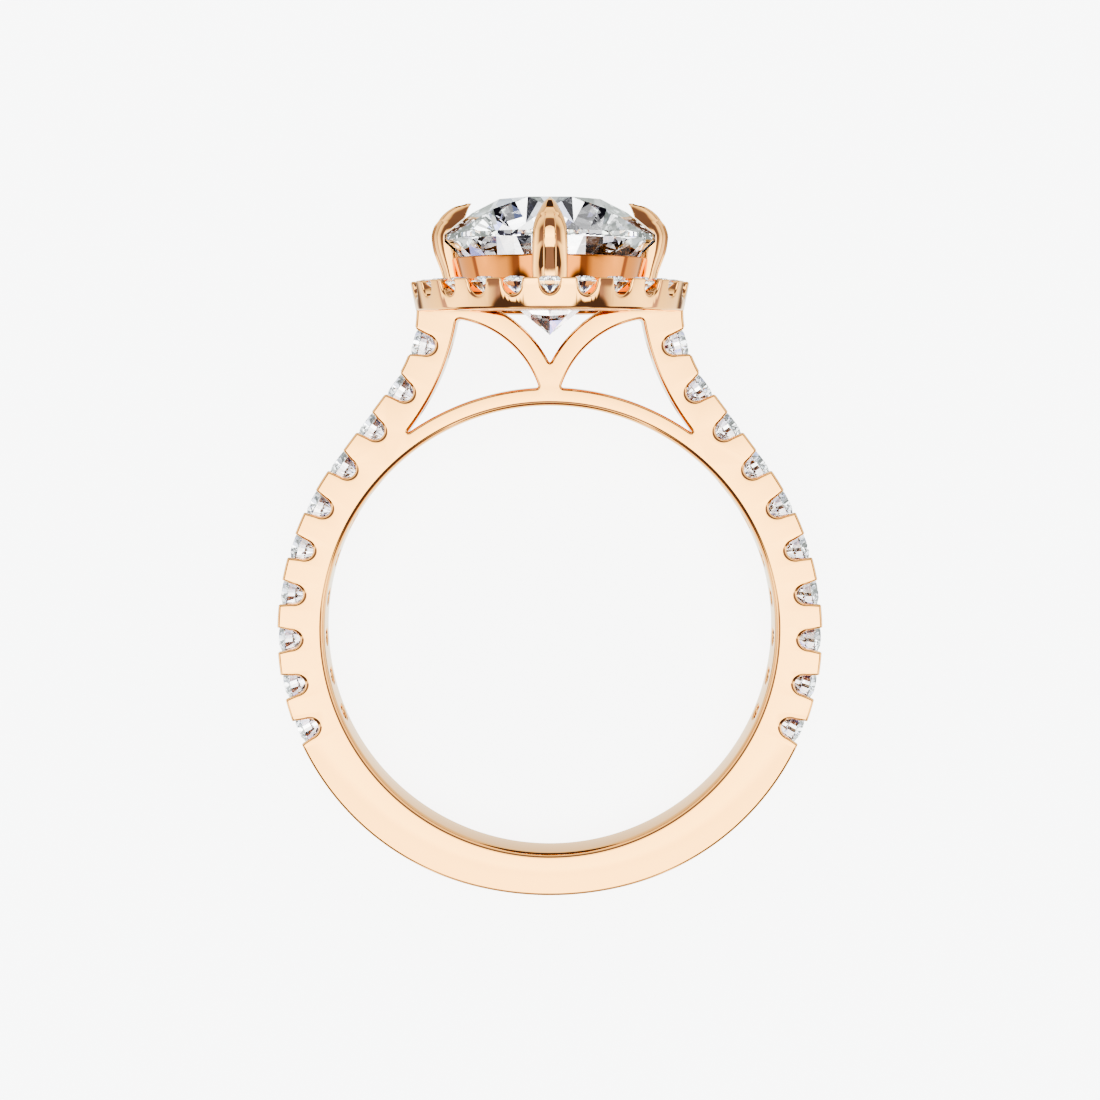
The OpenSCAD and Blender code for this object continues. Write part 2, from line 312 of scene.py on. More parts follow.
def set_back(points, by):
    """A closed outline moved into the metal, which lies on the right-hand side of its way round."""
    moved = []
    for k, point in enumerate(points):
        before = (point - points[k - 1]).normalized()
        after = (points[(k + 1) % len(points)] - point).normalized()
        across = (before + after).normalized()
        moved.append(point + Vector((across.y, -across.x)) * by / max(0.5, across.dot(after)))
    return moved


def flat_plate(outlines, thickness):
    """A plate between closed outlines. Each row: the outline, and the rounding of its two edges."""
    work = bmesh.new()
    rims = []
    for points, rounding in outlines:
        deep = rounding * ROUND_DEPTH
        stations = [(rounding * a, thickness / 2 - deep + deep * b) for a, b in quarter(8)]
        rows = []
        for by, z in [(a, -b) for a, b in reversed(stations)] + stations:
            rows.append([work.verts.new((p.x, p.y, z)) for p in set_back(points, by)])
        n = len(points)
        for low, high in zip(rows, rows[1:]):
            for k in range(n):
                work.faces.new((low[k], low[(k + 1) % n], high[(k + 1) % n], high[k]))
        rims += [rows[0], rows[-1]]
    for side in (0, 1):
        edges = []
        for rim in rims[side::2]:
            edges += [work.edges.get((rim[k - 1], rim[k])) for k in range(len(rim))]
        bmesh.ops.triangle_fill(work, edges=edges, use_beauty=True)
    bmesh.ops.recalc_face_normals(work, faces=work.faces)
    mesh = bpy.data.meshes.new("plate")
    work.to_mesh(mesh)
    work.free()
    return mesh


def loft(rings):
    """A closed solid through rings of points, all of one count."""
    work = bmesh.new()
    rows = [[work.verts.new(p) for p in ring] for ring in rings]
    n = len(rings[0])
    for low, high in zip(rows, rows[1:]):
        for k in range(n):
            work.faces.new((low[k], low[(k + 1) % n], high[(k + 1) % n], high[k]))
    work.faces.new(reversed(rows[0]))
    work.faces.new(rows[-1])
    bmesh.ops.recalc_face_normals(work, faces=work.faces)
    mesh = bpy.data.meshes.new("loft")
    work.to_mesh(mesh)
    work.free()
    return mesh


def lathe(profile, sides):
    """A solid of revolution about Z. The profile's first and last points lie on the axis."""
    work = bmesh.new()
    ends = [work.verts.new((0, 0, profile[0][1])), work.verts.new((0, 0, profile[-1][1]))]
    turns = [2 * math.pi * k / sides for k in range(sides)]
    rows = [[work.verts.new((r * math.cos(a), r * math.sin(a), z)) for a in turns] for r, z in profile[1:-1]]
    for low, high in zip(rows, rows[1:]):
        for k in range(sides):
            work.faces.new((low[k], low[(k + 1) % sides], high[(k + 1) % sides], high[k]))
    for k in range(sides):
        work.faces.new((ends[0], rows[0][(k + 1) % sides], rows[0][k]))
        work.faces.new((ends[1], rows[-1][k], rows[-1][(k + 1) % sides]))
    bmesh.ops.recalc_face_normals(work, faces=work.faces)
    mesh = bpy.data.meshes.new("lathe")
    work.to_mesh(mesh)
    work.free()
    return mesh


def joined(parts):
    """One mesh out of (mesh, matrix) pairs."""
    work = bmesh.new()
    for mesh, matrix in parts:
        copy = mesh.copy()
        copy.transform(matrix)
        if matrix.determinant() < 0:
            copy.flip_normals()
        work.from_mesh(copy)
        bpy.data.meshes.remove(copy)
    mesh = bpy.data.meshes.new("joined")
    work.to_mesh(mesh)
    work.free()
    return mesh


def combine(mesh, tool, operation="DIFFERENCE"):
    """The mesh with another cut away from it, or added to it."""
    body = bpy.data.objects.new("body", mesh)
    other = bpy.data.objects.new("other", tool)
    for obj in (body, other):
        bpy.context.scene.collection.objects.link(obj)
    cut = body.modifiers.new("cut", "BOOLEAN")
    cut.operation = operation
    cut.solver = "MANIFOLD"
    cut.object = other
    bpy.context.view_layer.update()
    made = bpy.data.meshes.new_from_object(body.evaluated_get(bpy.context.evaluated_depsgraph_get()))
    for obj in (body, other):
        bpy.data.objects.remove(obj)
    return made


CUTTER_OVER = 0.6


def u_profile(half, half_mouth, depth, round_h, corner):
    """A U-cut's outline with its mouth at height 0: an oval bottom, sides that open, round corners."""
    low = depth - round_h
    right = []
    for angle in range(-90, 1, 9):
        on_oval = toward(angle)
        right.append(Vector((half * on_oval.x, round_h * on_oval.y - low)))
    right += [Vector((half_mouth + corner * across, -corner + corner * along)) for across, along in quarter()]
    right.append(Vector((half_mouth + corner, CUTTER_OVER)))
    return right + mirrored(right)[:-1]


def u_cutter():
    """The cut that shows a shoulder stone from the front and the back, with rounded rims."""
    stations = [(across, band_w / 2 - EDGE_ROUND + EDGE_ROUND * along) for across, along in quarter(6)]
    stations.append((1, band_w / 2 + 0.3))
    inner, outer = u_profile(*CUT_INNER), u_profile(*CUT_OUTER)
    rings = []
    for share, z in [(g, -z) for g, z in reversed(stations)] + stations:
        rings.append([(*a.lerp(b, share), z) for a, b in zip(inner, outer)])
    return loft(rings)


TABLE = 0.51
CROWN_ANGLE = math.radians(34.3)
PAVILION_ANGLE = math.radians(41.3)
GIRDLE = 0.026
SEAT_GAP = 0.03
LIGHT_HOLE_R = 0.28
SEAT_RIM = 0.05
LIGHT_HOLE_RIM = 0.09
# The light holes of the stones nearest the head come out in the windows, the others in the finger hole
STONES_OVER_WINDOW = 2


def crown_h(d):
    return (1 - TABLE) * d / 2 * math.tan(CROWN_ANGLE)


def stone_seat(d, hole_r, exit_depth, rim, hole_rim):
    """The hollow drilled for a stone, whose table is at height 0, and for the light behind it."""
    r = d / 2 + SEAT_GAP
    shelf = -crown_h(d) - GIRDLE * d - SEAT_GAP
    profile = [(0, 0.5), (r + rim, 0.5)]
    profile += [(r + rim * across, -rim + rim * along) for across, along in reversed(quarter(3))]
    profile += [(r, shelf), (hole_r, shelf - (r - hole_r) * math.tan(PAVILION_ANGLE))]
    for across, along in quarter(4):
        profile.append((hole_r + hole_rim * across, -exit_depth + hole_rim - hole_rim * along))
    profile += [(hole_r + hole_rim, -exit_depth - 0.3), (0, -exit_depth - 0.3)]
    return lathe(profile, 48)


def depth_to(point, inward, centre, r):
    """How far a straight drill goes from a point before it comes out at a circle."""
    off = centre - point
    along = off.dot(inward)
    reach = math.sqrt(r * r - (off.length_squared - along * along))
    return along - reach if (off.length > r) else along + reach


def shoulder_frame(number, side):
    """Stone `number` on the left (-1) or right (1) shoulder: its table's middle, Z pointing outwards."""
    point, heading = stone_place(number)
    stand = Matrix.Translation((point.x, point.y, 0)) @ Matrix.Rotation(math.radians(heading), 4, "Z")
    stand = stand @ Matrix.Rotation(math.radians(-90), 4, "X")
    return Matrix.Diagonal((-side, 1, 1, 1)) @ stand


FLAT_CUT = Matrix.Rotation(math.radians(90), 4, "X")


def band_mesh():
    window = window_outline()
    hole = [finger_r * toward(a) for a in range(360)]
    mesh = flat_plate([
        (band_outline(), EDGE_ROUND),
        (window, EDGE_ROUND),
        (mirrored(window), EDGE_ROUND),
        (hole, HOLE_ROUND),
    ], band_w)
    places = [(number, side) for side in (-1, 1) for number in range(1, STONES_PER_SIDE + 1)]
    u_cut = u_cutter()
    mesh = combine(mesh, joined([(u_cut, shoulder_frame(n, s) @ FLAT_CUT) for n, s in places]))
    for odd in (0, 1):
        seats = []
        for number, side in places:
            if number % 2 != odd:
                continue
            point, heading = stone_place(number)
            inward = -toward(heading + 90)
            if number <= STONES_OVER_WINDOW:
                deep = depth_to(point, inward, SHOULDER_CENTRE, SHOULDER_INNER_R)
            else:
                deep = depth_to(point, inward, Vector((0, 0)), finger_r)
            seat = stone_seat(STONE_D, LIGHT_HOLE_R, deep, SEAT_RIM, LIGHT_HOLE_RIM)
            seats.append((seat, shoulder_frame(number, side)))
        mesh = combine(mesh, joined(seats))
    return mesh


metal_piece("band", band_mesh(), ["ring_mount"])

# Halo
# A ring of rose gold round the foot of the head, its wall drawn in a little towards the bottom. A
# round U-cut is filed right through it below each small stone, which leaves a post between each two
# stones and a small round bead inside them.
HALO_COUNT = 24
HALO_STONE_D = 0.94
HALO_R = 5.06
HALO_TAPER = 0.21
HALO_INNER_R = 3.9
HALO_STONES_R = 4.46
HALO_H = 1.07
HALO_TOP = HALO_BOTTOM + HALO_H
HALO_TABLE = HALO_TOP + 0.06
# As for the band's U-cuts, but where the rim is narrowest and where it meets the halo's wall
HALO_CUT_INNER = (0.33, 0.35, 0.57, 0.40, 0.11)
HALO_CUT_OUTER = (0.41, 0.44, 0.68, 0.42, 0.02)
HALO_CUT_RIM = 0.09
HALO_HOLE_R = 0.18
HALO_SEAT_RIM = 0.03
HALO_HOLE_RIM = 0.04
BEAD_R = 0.18
BEAD_AT = 4.05
BEAD_TOP = HALO_TOP + 0.03
BEAD_DOME_H = 0.1
ON_HEAD = Matrix.Rotation(math.radians(-90), 4, "X")


def rounded(corners, steps=5):
    """A closed outline of straight sides. Each row: x, y, rounding of that corner."""
    points = []
    for k, (x, y, r) in enumerate(corners):
        corner = Vector((x, y))
        back = (Vector(corners[k - 1][:2]) - corner).normalized()
        ahead = (Vector(corners[(k + 1) % len(corners)][:2]) - corner).normalized()
        half = back.angle(ahead) / 2
        reach = r / math.tan(half)
        middle = corner + (back + ahead).normalized() * r / math.sin(half)
        start, end = corner + back * reach - middle, corner + ahead * reach - middle
        turn = start.angle_signed(end)
        points += [middle + Matrix.Rotation(-turn * j / steps, 2) @ start for j in range(steps + 1)]
    return points


def hoop(outline, sides):
    """A closed outline of (radius, height) turned about Z, clear of the axis."""
    work = bmesh.new()
    turns = [2 * math.pi * k / sides for k in range(sides)]
    rows = [[work.verts.new((p.x * math.cos(a), p.x * math.sin(a), p.y)) for p in outline] for a in turns]
    n = len(outline)
    for k in range(sides):
        here, there = rows[k], rows[(k + 1) % sides]
        for j in range(n):
            work.faces.new((here[j], there[j], there[(j + 1) % n], here[(j + 1) % n]))
    bmesh.ops.recalc_face_normals(work, faces=work.faces)
    mesh = bpy.data.meshes.new("hoop")
    work.to_mesh(mesh)
    work.free()
    return mesh


def halo_cutter():
    """A U-cut from inside the halo to outside its wall, whose rim follows the leaning wall."""
    stations = [(0, HALO_INNER_R - HALO_R - 0.4)]
    stations += [(across, HALO_CUT_RIM * (along - 1)) for across, along in quarter(6)]
    stations.append((1, 0.3))
    inner, outer = u_profile(*HALO_CUT_INNER), u_profile(*HALO_CUT_OUTER)
    rings = []
    for share, from_wall in stations:
        ring = []
        for a, b in zip(inner, outer):
            p = a.lerp(b, share)
            wall_r = HALO_R + HALO_TAPER * min(p.y, 0) / HALO_H + from_wall
            ring.append((math.sqrt(wall_r ** 2 - p.x ** 2), p.x, HALO_TOP + p.y))
        rings.append(ring)
    return loft(rings)


def halo_mesh():
    wall = rounded([
        (HALO_INNER_R, HALO_BOTTOM, 0.05),
        (HALO_R - HALO_TAPER, HALO_BOTTOM, 0.13),
        (HALO_R, HALO_TOP, 0.06),
        (HALO_INNER_R, HALO_TOP, 0.05),
    ])
    mesh = hoop(wall, 240)
    turns = [Matrix.Rotation(2 * math.pi * k / HALO_COUNT, 4, "Z") for k in range(HALO_COUNT)]
    cutter = halo_cutter()
    mesh = combine(mesh, joined([(cutter, turn) for turn in turns]))
    seat = stone_seat(HALO_STONE_D, HALO_HOLE_R, HALO_TABLE - HALO_BOTTOM, HALO_SEAT_RIM, HALO_HOLE_RIM)
    stand = Matrix.Translation((HALO_STONES_R, 0, HALO_TABLE))
    mesh = combine(mesh, joined([(seat, turn @ stand) for turn in turns]))
    half_turn = Matrix.Rotation(math.pi / HALO_COUNT, 4, "Z")
    dome = []
    for a in range(0, 90, 12):
        rise = math.sin(math.radians(a))
        dome.append((BEAD_R * math.cos(math.radians(a)), BEAD_TOP - BEAD_DOME_H + BEAD_DOME_H * rise))
    foot = HALO_BOTTOM + 0.3
    bead = lathe([(0, foot), (BEAD_R, foot)] + dome + [(0, BEAD_TOP)], 24)
    stand = Matrix.Translation((BEAD_AT, 0, 0))
    mesh = combine(mesh, joined([(bead, turn @ half_turn @ stand) for turn in turns]), "UNION")
    mesh.transform(ON_HEAD)
    return mesh


# A row of posts mirrored in the collar and the claws would be only noise
metal_piece("halo", halo_mesh(), ["ring_mount"]).visible_glossy = False

# Collar
# A short open cone of rose gold, soldered inside the halo, whose rim carries the centre stone. Gold
# mirrors gold there and looks redder. Its darker, redder colour is painted reflection and shade that
# stands for that, as the halo itself isn't mirrored.
CENTRE_D = 7.64
GIRDLE_Y = HALO_TOP + 1.56
COLLAR_TOP = GIRDLE_Y - 0.71
COLLAR_R = 3.53
COLLAR_T = 0.38
COLLAR_LEAN = 0.255
# How far a star facet reaches from the table's edge to the girdle
STAR_LENGTH = 0.5


def star_tip(d):
    """The tips of a stone's star facets: reach from the axis, and height above the girdle."""
    half_step = math.radians(22.5)
    edge_r = TABLE * d / 2 * math.cos(half_step)
    reach = edge_r + STAR_LENGTH * (d / 2 - edge_r)
    return reach, (d / 2 - reach * math.cos(half_step)) * math.tan(CROWN_ANGLE)


def centre_room():
    """The space of the centre stone, a little larger than the stone."""
    r = CENTRE_D / 2 + SEAT_GAP
    half_girdle = GIRDLE * CENTRE_D / 2 + SEAT_GAP
    tip_r, tip_rise = star_tip(CENTRE_D)
    tip_y = GIRDLE_Y + half_girdle + tip_rise + SEAT_GAP / 2
    return lathe([
        (0, GIRDLE_Y - half_girdle - r * math.tan(PAVILION_ANGLE)),
        (r, GIRDLE_Y - half_girdle),
        (r, GIRDLE_Y + half_girdle),
        (tip_r, tip_y),
        (0, tip_y + tip_r * math.tan(CROWN_ANGLE)),
    ], 192)


def collar_mesh():
    foot_r = COLLAR_R - COLLAR_LEAN * (COLLAR_TOP - HALO_BOTTOM)
    mesh = hoop(rounded([
        (foot_r - COLLAR_T, HALO_BOTTOM, 0.04),
        (foot_r, HALO_BOTTOM, 0.08),
        (COLLAR_R, COLLAR_TOP, 0.05),
        (COLLAR_R - COLLAR_T, COLLAR_TOP, 0.05),
    ]), 192)
    mesh = combine(mesh, centre_room())
    mesh.transform(ON_HEAD)
    return mesh


# Painted reflection and shade: the same gold in darker, redder tones, for the collar only
collar_painted_reflection_gold = rose_gold_finish("rose_gold_inner", (0.68, 0.27, 0.085, 1), (0.54, 0.17, 0.04, 1))
metal_piece("collar", collar_mesh(), ["ring_mount"], collar_painted_reflection_gold)

# Claws
# Four rose gold claws stand on the halo's inner edge and lean against the collar. Each has a narrow
# raised rib down the middle of its outside, and its end is bent over the stone to a point.
CLAW_W = 1.24
CLAW_NAMES = ("right", "back", "left", "front")
RIB_H = 0.09
# Across the claw, as shares of its half width: the rib's flat top, the foot of its bevel, where the
# round back begins, and the flat of the inside
RIB_FLAT = 0.25
RIB_FOOT = 0.3
BACK_START = 0.37
INSIDE_FLAT = 0.6
BEVEL_DROP = 0.12
BACK_FROM = math.radians(35)
# Level sections: height from the girdle, inner and outer reach, share of the width, share of the rib
CLAW_ROWS = (
    (-2.56, 2.95, 4.02, 0.80, 0.0),
    (-1.86, 3.05, 3.80, 0.92, 0.2),
    (-1.23, 3.22, 3.93, 1.00, 0.7),
    (-0.82, 3.24, 4.08, 1.00, 0.9),
    (-0.40, 3.26, 4.22, 1.00, 1.0),
    (0.07, 3.28, 4.28, 0.96, 1.0),
    (0.44, 3.18, 4.18, 0.84, 1.0),
    (0.60, 3.13, 4.06, 0.74, 0.9),
    (0.68, 3.10, 4.00, 0.68, 0.0),
    (0.79, 3.06, 3.92, 0.59, 0.0),
    (0.98, 2.99, 3.72, 0.43, 0.0),
    (1.16, 2.91, 3.42, 0.23, 0.0),
    (1.27, 2.84, 3.02, 0.06, 0.0),
)


def between_rows(rows, steps):
    """Rows on smooth, never overshooting curves through the given rows."""
    def slope(k, j):
        if k == 0 or k == len(rows) - 1:
            return 0.0
        before = (rows[k][j] - rows[k - 1][j]) / (rows[k][0] - rows[k - 1][0])
        after = (rows[k + 1][j] - rows[k][j]) / (rows[k + 1][0] - rows[k][0])
        return 0.0 if before * after <= 0 else 2 * before * after / (before + after)

    made = []
    for k, (start, end) in enumerate(zip(rows, rows[1:])):
        run = end[0] - start[0]
        for step in range(steps):
            t = step / steps
            row = [start[0] + run * t]
            for j in range(1, len(start)):
                row.append(
                    (2 * t ** 3 - 3 * t ** 2 + 1) * start[j] + (t ** 3 - 2 * t ** 2 + t) * run * slope(k, j)
                    + (3 * t ** 2 - 2 * t ** 3) * end[j] + (t ** 3 - t ** 2) * run * slope(k + 1, j)
                )
            made.append(row)
    return made + [list(rows[-1])]


def claw_section(inner, outer, half, rib):
    """Half of a level section as (reach, across), from the middle of the outside to the inside."""
    rib_h = RIB_H * rib * min(1, half / 0.5)
    deep = (outer - inner) / 2
    points = [(outer, 0.0), (outer, RIB_FLAT * half), (outer - BEVEL_DROP * rib_h, RIB_FOOT * half)]
    for k in range(10):
        a = BACK_FROM + (math.pi / 2 - BACK_FROM) * k / 9
        out = (math.sin(a) - math.sin(BACK_FROM)) / (1 - math.sin(BACK_FROM))
        drop = (deep - rib_h) * (1 - math.cos(a) / math.cos(BACK_FROM))
        points.append((outer - rib_h - drop, half * (BACK_START + (1 - BACK_START) * out)))
    for k in range(1, 5):
        a = math.pi / 2 * k / 4
        across = half * (INSIDE_FLAT + (1 - INSIDE_FLAT) * math.cos(a))
        points.append((inner + deep * (1 - math.sin(a)), across))
    return points


def claw_mesh():
    rings = []
    for rise, inner, outer, share, rib in between_rows(CLAW_ROWS, 4):
        half_section = claw_section(inner, outer, share * CLAW_W / 2, rib)
        section = half_section + [(reach, -across) for reach, across in half_section[:0:-1]]
        rings.append([(reach, across, GIRDLE_Y + rise) for reach, across in section])
    return combine(loft(rings), centre_room())


one_claw = claw_mesh()
for quarter_turn, name in enumerate(CLAW_NAMES):
    claw_surface = one_claw.copy()
    claw_surface.transform(ON_HEAD @ Matrix.Rotation(math.pi / 2 * quarter_turn, 4, "Z"))
    metal_piece("claw_" + name, claw_surface, ["ring_mount"])

# Centre stone
# A round brilliant of diamond. It is turned to a disc and then ground flat facet by facet: the
# table, eight stars, eight kites and sixteen halves above the girdle, and eight mains and sixteen
# halves below it.


def diamond_finish():
    """Clear as water and polished, with the faintest cloud in its colour and gloss."""
    material = bpy.data.materials.new("diamond")
    finish = Finish(material)
    place = finish.node("ShaderNodeTexCoord", output="Object")
    cloud = finish.node("ShaderNodeTexNoise", inputs={"Vector": place, "Scale": 900.0, "Detail": 2.0})
    surface = finish.node(
        "ShaderNodeBsdfPrincipled",
        inputs={
            "Base Color": finish.mix(cloud, (1, 1, 1, 1), (0.975, 0.985, 1, 1)),
            "Roughness": 0.004 * cloud,
            "IOR": 2.42,
            "Specular IOR Level": 0.25,
            "Transmission Weight": 1.0,
        },
    )
    finish.node("ShaderNodeOutputMaterial", inputs={"Surface": surface})
    return material


diamond = diamond_finish()


# The tips of the lower halves, and the middle of a girdle flat, as shares of the stone's radius
LOWER_TIP = 0.23
GIRDLE_FLAT = 0.9975


def grind(work, azimuth, slope, reach, height):
    """Grinds one facet: a plane of that slope that passes the point at that reach and height."""
    lean_out = Vector((
        math.sin(slope) * math.cos(azimuth), math.sin(slope) * math.sin(azimuth), math.cos(slope)
    ))
    point = Vector((reach * math.cos(azimuth), reach * math.sin(azimuth), height))
    cut = bmesh.ops.bisect_plane(
        work,
        geom=work.verts[:] + work.edges[:] + work.faces[:],
        dist=1e-6,
        plane_co=point,
        plane_no=lean_out,
        clear_outer=True,
    )
    edges = [e for e in cut["geom_cut"] if isinstance(e, bmesh.types.BMEdge)]
    if edges:
        bmesh.ops.contextual_create(work, geom=edges)


def brilliant(d, sides):
    """A round brilliant with its table at height 0."""
    r = d / 2
    table_z, girdle_top = 0.0, -crown_h(d)
    girdle_low = girdle_top - GIRDLE * d
    table_r = TABLE * r
    half_step = math.radians(22.5)
    star_r, star_rise = star_tip(d)
    star_z = girdle_top + star_rise
    low_r = LOWER_TIP * r
    low_z = girdle_low - (r - low_r * math.cos(half_step)) * math.tan(PAVILION_ANGLE)
    work = bmesh.new()
    bmesh.ops.create_cone(
        work, cap_ends=True, segments=sides, radius1=r, radius2=r, depth=2 * r,
        matrix=Matrix.Translation((0, 0, -r / 2)) @ Matrix.Rotation(math.pi / sides, 4, "Z"),
    )
    grind(work, 0, 0, 0, table_z)
    # a half facet passes the tip of its star or of its lower main, and the girdle at its own azimuth
    quarter_step = half_step / 2
    for k in range(8):
        azimuth = 2 * half_step * k
        grind(work, azimuth, CROWN_ANGLE, r, girdle_top)
        grind(work, azimuth, math.pi - PAVILION_ANGLE, r, girdle_low)
    for k in range(8):
        azimuth = 2 * half_step * (k + 0.5)
        edge_r = table_r * math.cos(half_step)
        star_slope = math.atan2(-star_z, star_r - edge_r)
        grind(work, azimuth, star_slope, star_r, star_z)
        for side in (-1, 1):
            at = azimuth + side * quarter_step
            tip_reach = star_r * math.cos(quarter_step)
            slope = math.atan2(star_z - girdle_top, r * GIRDLE_FLAT - tip_reach)
            grind(work, at, slope, tip_reach, star_z)
            tip_reach = low_r * math.cos(quarter_step)
            slope = math.atan2(girdle_low - low_z, r * GIRDLE_FLAT - tip_reach)
            grind(work, at, math.pi - slope, tip_reach, low_z)
    bmesh.ops.dissolve_degenerate(work, dist=1e-5, edges=work.edges[:])
    bmesh.ops.recalc_face_normals(work, faces=work.faces)
    mesh = bpy.data.meshes.new("brilliant")
    work.to_mesh(mesh)
    work.free()
    return mesh


centre_table = GIRDLE_Y + GIRDLE * CENTRE_D / 2 + crown_h(CENTRE_D)
centre_surface = brilliant(CENTRE_D, 96)
centre_surface.transform(
    ON_HEAD @ Matrix.Translation((0, 0, centre_table)) @ Matrix.Rotation(math.radians(22.5), 4, "Z")
)
finish_piece("centre_brilliant", centre_surface, diamond, ["centre_stone"])

# Halo stones
# Twenty-four small round brilliants of diamond stand in a circle. Each is dropped into its seat, and
# the posts and beads round it are pushed over its edge to hold it.
small_stone = brilliant(HALO_STONE_D, 32)
halo_places = [
    Matrix.Rotation(2 * math.pi * k / HALO_COUNT, 4, "Z") @ Matrix.Translation((HALO_STONES_R, 0, HALO_TABLE))
    for k in range(HALO_COUNT)
]
halo_brilliants = joined([(small_stone, ON_HEAD @ place) for place in halo_places])
finish_piece("halo_brilliants", halo_brilliants, diamond, ["halo_stones"]).visible_glossy = False

# Shoulder stones
# Ten round brilliants of diamond go down the outside of each shoulder. Their tables are level with the
# metal, and the posts that the U-cuts leave hold them.
shoulder_brilliant = brilliant(STONE_D, 48)
for side, side_name in ((-1, "left"), (1, "right")):
    for number in range(1, STONES_PER_SIDE + 1):
        stone = joined([(shoulder_brilliant, shoulder_frame(number, side))])
        node = f"shoulder_stone_{side_name}_{number}"
        finish_piece(f"shoulder_brilliant_{side_name}_{number}", stone, diamond, [node])

# Light table
# The ring lies on a pale, matt sheet. It is lit from below too, so that the ring's shadow stays faint,
# and polished metal and stones show the tent in its place.
FLOOR_HALF = 0.6
floor_mesh = bpy.data.meshes.new("floor")
floor_mesh.from_pydata(
    [(x * FLOOR_HALF, y * FLOOR_HALF, 0) for x, y in ((-1, -1), (1, -1), (1, 1), (-1, 1))], [], [(0, 1, 2, 3)]
)
floor = bpy.data.objects.new("floor", floor_mesh)
bpy.context.scene.collection.objects.link(floor)
floor.visible_glossy = False
floor.visible_transmission = False
floor_material = bpy.data.materials.new("light_table")
floor_finish = Finish(floor_material)
floor_surface = floor_finish.node(
    "ShaderNodeBsdfPrincipled",
    inputs={
        "Base Color": (0.5, 0.5, 0.505, 1),
        "Roughness": 0.6,
        "Specular IOR Level": 0.0,
        "Emission Color": (1, 1, 1, 1),
        "Emission Strength": 2.25,
    },
)
floor_finish.node("ShaderNodeOutputMaterial", inputs={"Surface": floor_surface})
floor_mesh.materials.append(floor_material)

# Tent
# A white tent stands round the ring: a bright front, dark gaps between its panels, and a pale strip
# of table to the left and right. The numbers are degrees from the front and shares of upwards.
world = bpy.data.worlds.new("tent")
bpy.context.scene.world = world
tent = Finish(world)
ray = tent.node("ShaderNodeTexCoord", output="Generated")
ray = tent.node("ShaderNodeMapping", {"vector_type": "POINT"}, {"Vector": ray, "Rotation": (-lean, 0, 0)})
sideways = tent.node("ShaderNodeSeparateXYZ", inputs={0: ray}, output="X")
upward = tent.node("ShaderNodeSeparateXYZ", inputs={0: ray}, output="Y")
forward = tent.node("ShaderNodeSeparateXYZ", inputs={0: ray}, output="Z")
from_front = forward.maths("ARCCOSINE", forward) * math.degrees(1)
BRIGHTEST = 4.0
TENT_BANDS = (
    (0, 3.15), (26, 3.1), (30, 0.3), (58, 0.35), (70, 1.5), (84, 2.1), (98, 1.8), (100, 0.6), (104, 0.6),
    (107, 1.3), (180, 1.4),
)
STRIP_BANDS = (
    (0, 2.7), (0.5, 2.4), (0.56, 2.2), (0.59, 0.45), (0.68, 0.45), (0.78, 1.3), (0.88, 1.5), (0.95, 1.9),
)
# Tints of the dim panels and of the bright ones
DIM_BELOW = 0.8
DIM = (1, 0.94, 1.3)
WHITE = (0.97, 1.06, 1.0)


def grey(level, tint=(1, 1, 1)):
    return (*(level / BRIGHTEST * share for share in tint), 1)


def panels(along, rows, whole):
    stops = [(place / whole, grey(level, DIM if level < DIM_BELOW else WHITE)) for place, level in rows]
    return tent.node("ShaderNodeValToRGB", {"stops": stops}, {"Fac": along / whole})


walls = panels(from_front, TENT_BANDS, 180)
beside = sideways.maths("ABSOLUTE", sideways)
strip = upward.between(-0.2, -0.25) * upward.between(-0.5, -0.46) * from_front.between(99, 97)
walls = tent.mix(strip, walls, panels(beside, STRIP_BANDS, 1))
# Dark openings of the tent: below on both sides, small ones behind, and one each in floor and top.
# Each row: direction, half its spread in degrees.
OPENINGS = (
    ((-0.5, -0.57, 0.65), 16), ((0.5, -0.57, 0.65), 16), ((-0.68, -0.72, 0.15), 21),
    ((0.68, -0.72, 0.15), 21), ((0, -1, -0.05), 21), ((0, 0.93, -0.37), 19),
    ((-0.56, -0.08, -0.83), 7), ((0.56, -0.08, -0.83), 7),
)
OPENING_EDGE = 0.01
OPENING_LEVEL = 0.1
for place, spread in OPENINGS:
    aim = tuple(Vector(place).normalized())
    near = tent.node("ShaderNodeVectorMath", {"operation": "DOT_PRODUCT"}, {0: ray, 1: aim}, output="Value")
    edge = math.cos(math.radians(spread))
    inside = near.between(edge - OPENING_EDGE, edge + OPENING_EDGE)
    walls = tent.mix(inside, walls, grey(OPENING_LEVEL, DIM))

# Through the stones a room of its own shows: white behind and up on the right, grey below, black on
# the left, and all of it broken up into patches
high = upward.between(0.25, 0.4)
low = upward.between(-0.1, -0.18)
behind = forward.between(-0.2, -0.4)
room = tent.mix(high * sideways.between(-0.05, 0.1), grey(0.6), grey(3.6))
room = tent.mix(behind * upward.between(-0.17, -0.07), room, grey(3.2))
room = tent.mix(behind * low * sideways.between(-0.06, 0.04), room, grey(1.1, (0.9, 0.93, 1.05)))
left = upward.between(-0.62, -0.55) * sideways.between(-0.06, -0.12)
room = tent.mix(behind * low * left, room, grey(0.08))
patches = tent.node(
    "ShaderNodeTexVoronoi", {"voronoi_dimensions": "3D"}, {"Vector": ray, "Scale": 4.5, "Randomness": 0.9},
    output="Color",
)
tone = tent.node("ShaderNodeSeparateColor", inputs={0: patches}, output=0)
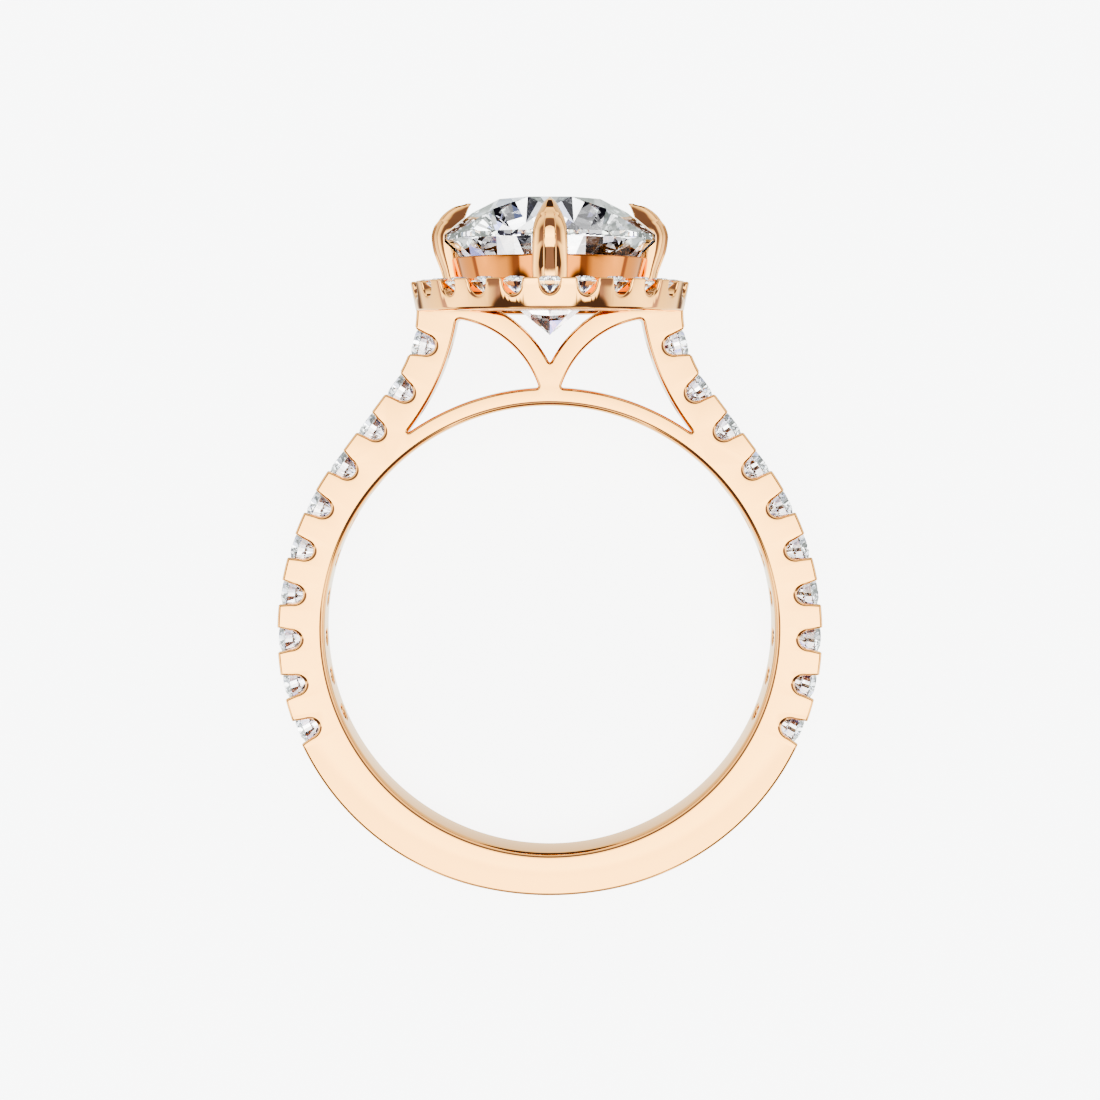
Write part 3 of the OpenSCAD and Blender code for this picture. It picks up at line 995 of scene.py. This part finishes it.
CARDS = (
    (0.0, (0.01, 0.01, 0.01, 1)), (0.3, (0.01, 0.01, 0.01, 1)), (0.31, (0.3, 0.3, 0.31, 1)),
    (0.42, (0.3, 0.3, 0.31, 1)), (0.43, (0.3, 0.4, 0.62, 1)), (0.47, (0.36, 0.34, 0.62, 1)),
    (0.48, (0.6, 0.6, 0.6, 1)), (0.78, (0.6, 0.6, 0.6, 1)), (0.79, (1, 1, 1, 1)),
)
cards = tent.node("ShaderNodeValToRGB", {"stops": CARDS}, {"Fac": tone})
room = tent.mix(1.0, room, cards, "MULTIPLY")
STONE_BOOST = 0.5
through_stone = tent.node("ShaderNodeLightPath", output="Is Transmission Ray")
walls = tent.mix(through_stone, walls, room)
# Lighter below than above, within limits
TENT_SLOPE = 0.85
slope = (1.0 - TENT_SLOPE * upward).at_least(0.75).at_most(1.25)
# Past the table's edge the camera sees plain white
BACKDROP = 2.95
seen = tent.node("ShaderNodeLightPath", output="Is Camera Ray")
walls = tent.mix(seen, walls, grey(BACKDROP))
brightness = (slope * (1 + STONE_BOOST * through_stone) * (1 - seen) + seen) * BRIGHTEST
light = tent.node("ShaderNodeBackground", inputs={"Color": walls, "Strength": brightness})
tent.node("ShaderNodeOutputWorld", inputs={"Surface": light})

# Camera
# It stands in front of the ring, a little above the finger hole, and looks slightly down along the
# finger, as the photograph does. What it sees is developed with high contrast.
camera = bpy.data.cameras.new("camera")
camera.sensor_width = 36
camera.lens = 62.54
camera.clip_start = 0.005
camera.clip_end = 5
camera_obj = bpy.data.objects.new("camera", camera)
bpy.context.scene.collection.objects.link(camera_obj)
# Its place from the middle of the finger hole, in metres, before the ring is laid down
CAMERA_AT = (0.000005, 0.01005, 0.07)
CAMERA_PITCH = math.radians(-5.8)
camera_obj.matrix_world = laid_down @ Matrix.Translation(CAMERA_AT) @ Matrix.Rotation(CAMERA_PITCH, 4, "X")
bpy.context.scene.camera = camera_obj

light_paths = bpy.context.scene.cycles
light_paths.max_bounces = 18
light_paths.glossy_bounces = 10
light_paths.transmission_bounces = 18
bpy.context.scene.view_settings.view_transform = "AgX"
bpy.context.scene.view_settings.look = "AgX - High Contrast"
